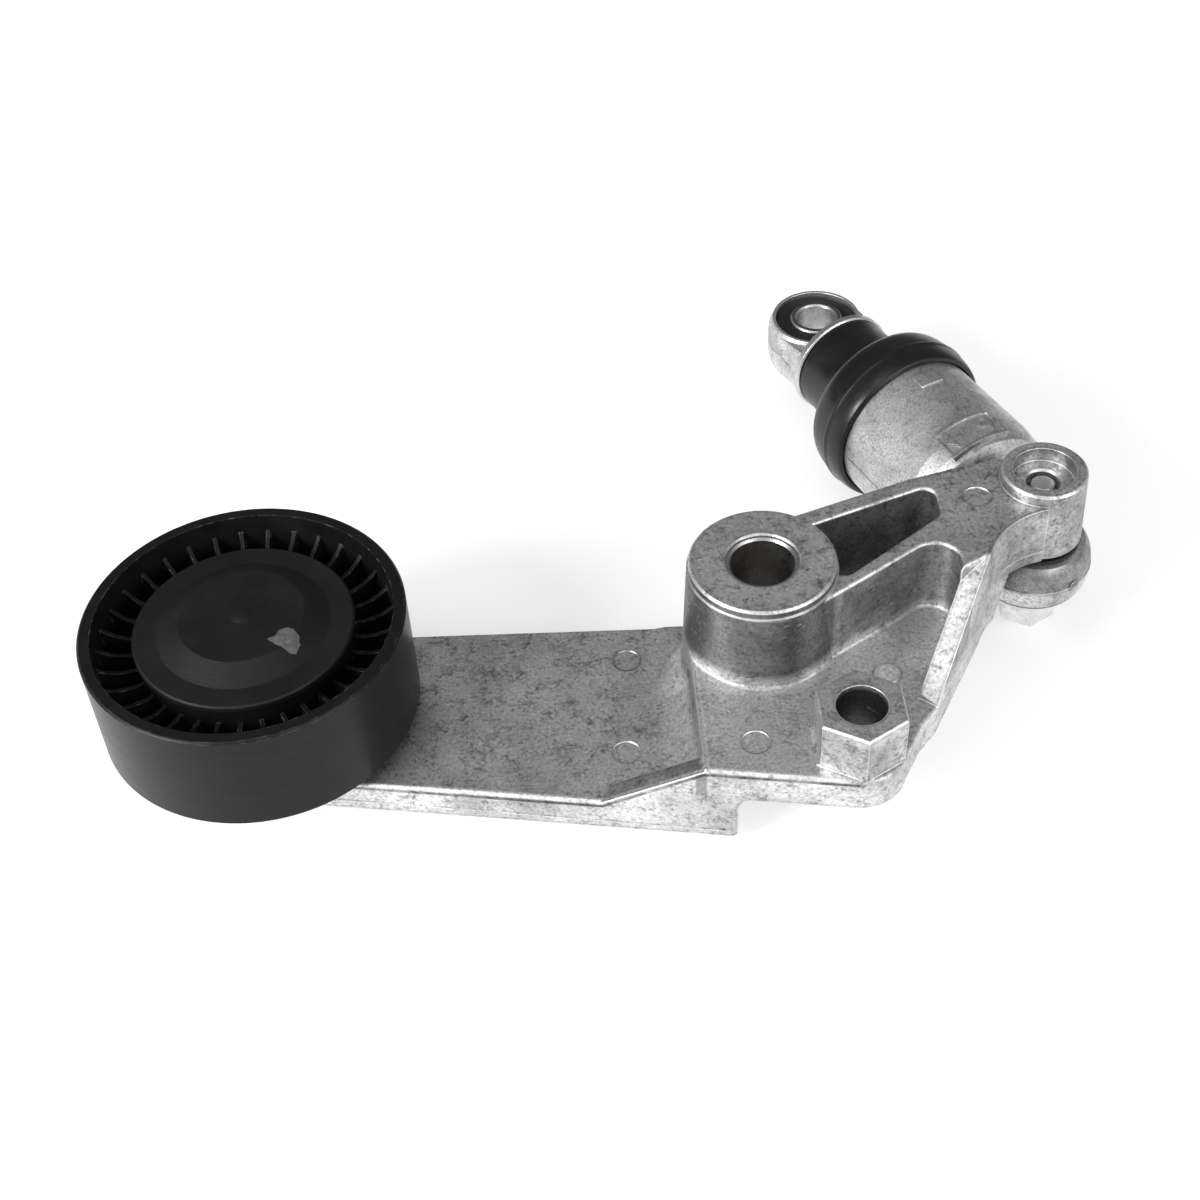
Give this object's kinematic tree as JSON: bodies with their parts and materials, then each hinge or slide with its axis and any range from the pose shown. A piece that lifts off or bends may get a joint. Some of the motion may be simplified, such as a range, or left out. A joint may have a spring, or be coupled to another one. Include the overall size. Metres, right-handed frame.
{
  "type": "belt tensioner with idler pulley and damper",
  "caption": "Cast tensioner arm on a pivot bore, carrying a smooth idler pulley at one end and a booted hydraulic damper at the other, for a flat multi-rib belt drive.",
  "frame": {"origin": "on the pivot bore's axis, at the pivot boss's engine-side face", "axes": "+Z along the pivot axis, away from the engine, towards the side where the pulley's dust cap and the wrench hex are; +X from the pulley's axis towards the pivot's axis; the damper lies towards +Y"},
  "size_m": [0.2426, 0.1754, 0.0496],
  "materials": {
    "arm_casting": "as-cast, tumbled",
    "damper_casting": "as-cast, bright",
    "bush_bronze": "sintered, dark",
    "turned_steel": "turned",
    "zinc_steel": "zinc plated",
    "bearing_steel": "ground",
    "cage_polymer": "moulded polyamide",
    "seal_rubber": "moulded",
    "pulley_plastic": "glass-filled polyamide, moulded, running face polished by the belt",
    "cap_plastic": "moulded, fine grain",
    "bush_rubber": "moulded",
    "chromed_rod": "ground and chromed",
    "spring_steel": "shot-peened",
    "boot_rubber": "moulded, satin"
  },
  "bodies": {
    "arm": {"arm": "arm_casting", "pivot_bush": "bush_bronze", "pulley_spacer": "turned_steel", "pulley_washer": "zinc_steel", "pulley_bolt": "zinc_steel", "bearing_inner_ring": "bearing_steel", "lower_eye_sleeve": "turned_steel", "damper_bolt": "zinc_steel", "damper_bolt_washer": "zinc_steel"},
    "pulley": {"pulley": "pulley_plastic", "dust_cap": "cap_plastic", "bearing_outer_ring": "bearing_steel", "bearing_seal_front": "seal_rubber", "bearing_seal_rear": "seal_rubber"},
    "ball_set": {"bearing_balls": "bearing_steel", "bearing_cage": "cage_polymer"},
    "damper_body": {"damper_housing": "damper_casting", "lower_eye_bush": "bush_rubber", "pressure_cylinder": "turned_steel", "valve_seat": "turned_steel", "valve_ball": "bearing_steel", "valve_cage": "zinc_steel", "rod_guide": "turned_steel", "rod_seal": "seal_rubber"},
    "damper_rod": {"piston": "turned_steel", "piston_rod": "chromed_rod", "spring_plate": "turned_steel", "top_eye": "damper_casting", "top_eye_bush": "bush_rubber", "damper_spring": "spring_steel", "boot": "boot_rubber"},
    "top_sleeve": {"top_eye_sleeve": "turned_steel"}
  },
  "joints": [
    {"name": "pulley_spin", "type": "hinge", "parent": "arm", "child": "pulley", "pos_m": [-0.1204, 0, 0.0285], "axis": [0, 0, 1], "continuous": true},
    {"name": "ball_set_spin", "type": "hinge", "parent": "arm", "child": "ball_set", "pos_m": [-0.1204, 0, 0.0285], "axis": [0, 0, 1], "continuous": true},
    {"name": "damper_pivot", "type": "hinge", "parent": "arm", "child": "damper_body", "pos_m": [0.07, 0.0232, 0.0216], "axis": [0, 0, 1], "range_deg": [-12, 5], "stiffness_Nm_per_rad": 6},
    {"name": "damper_stroke", "type": "slide", "parent": "damper_body", "child": "damper_rod", "axis": [-0.4163, 0.9092, 0], "range_m": [-0.01, 0], "stiffness_N_per_m": 6000, "springref_m": 0.005, "deforming": ["damper_spring", "boot"]},
    {"name": "top_eye_twist", "type": "hinge", "parent": "damper_rod", "child": "top_sleeve", "pos_m": [0.02854, 0.11376, 0.0236], "axis": [0, 0, 1], "range_deg": [-15, 15], "stiffness_Nm_per_rad": 4}
  ],
  "couplings": [
    {"joint": "ball_set_spin", "follows": "pulley_spin", "ratio": 0.61842}
  ]
}
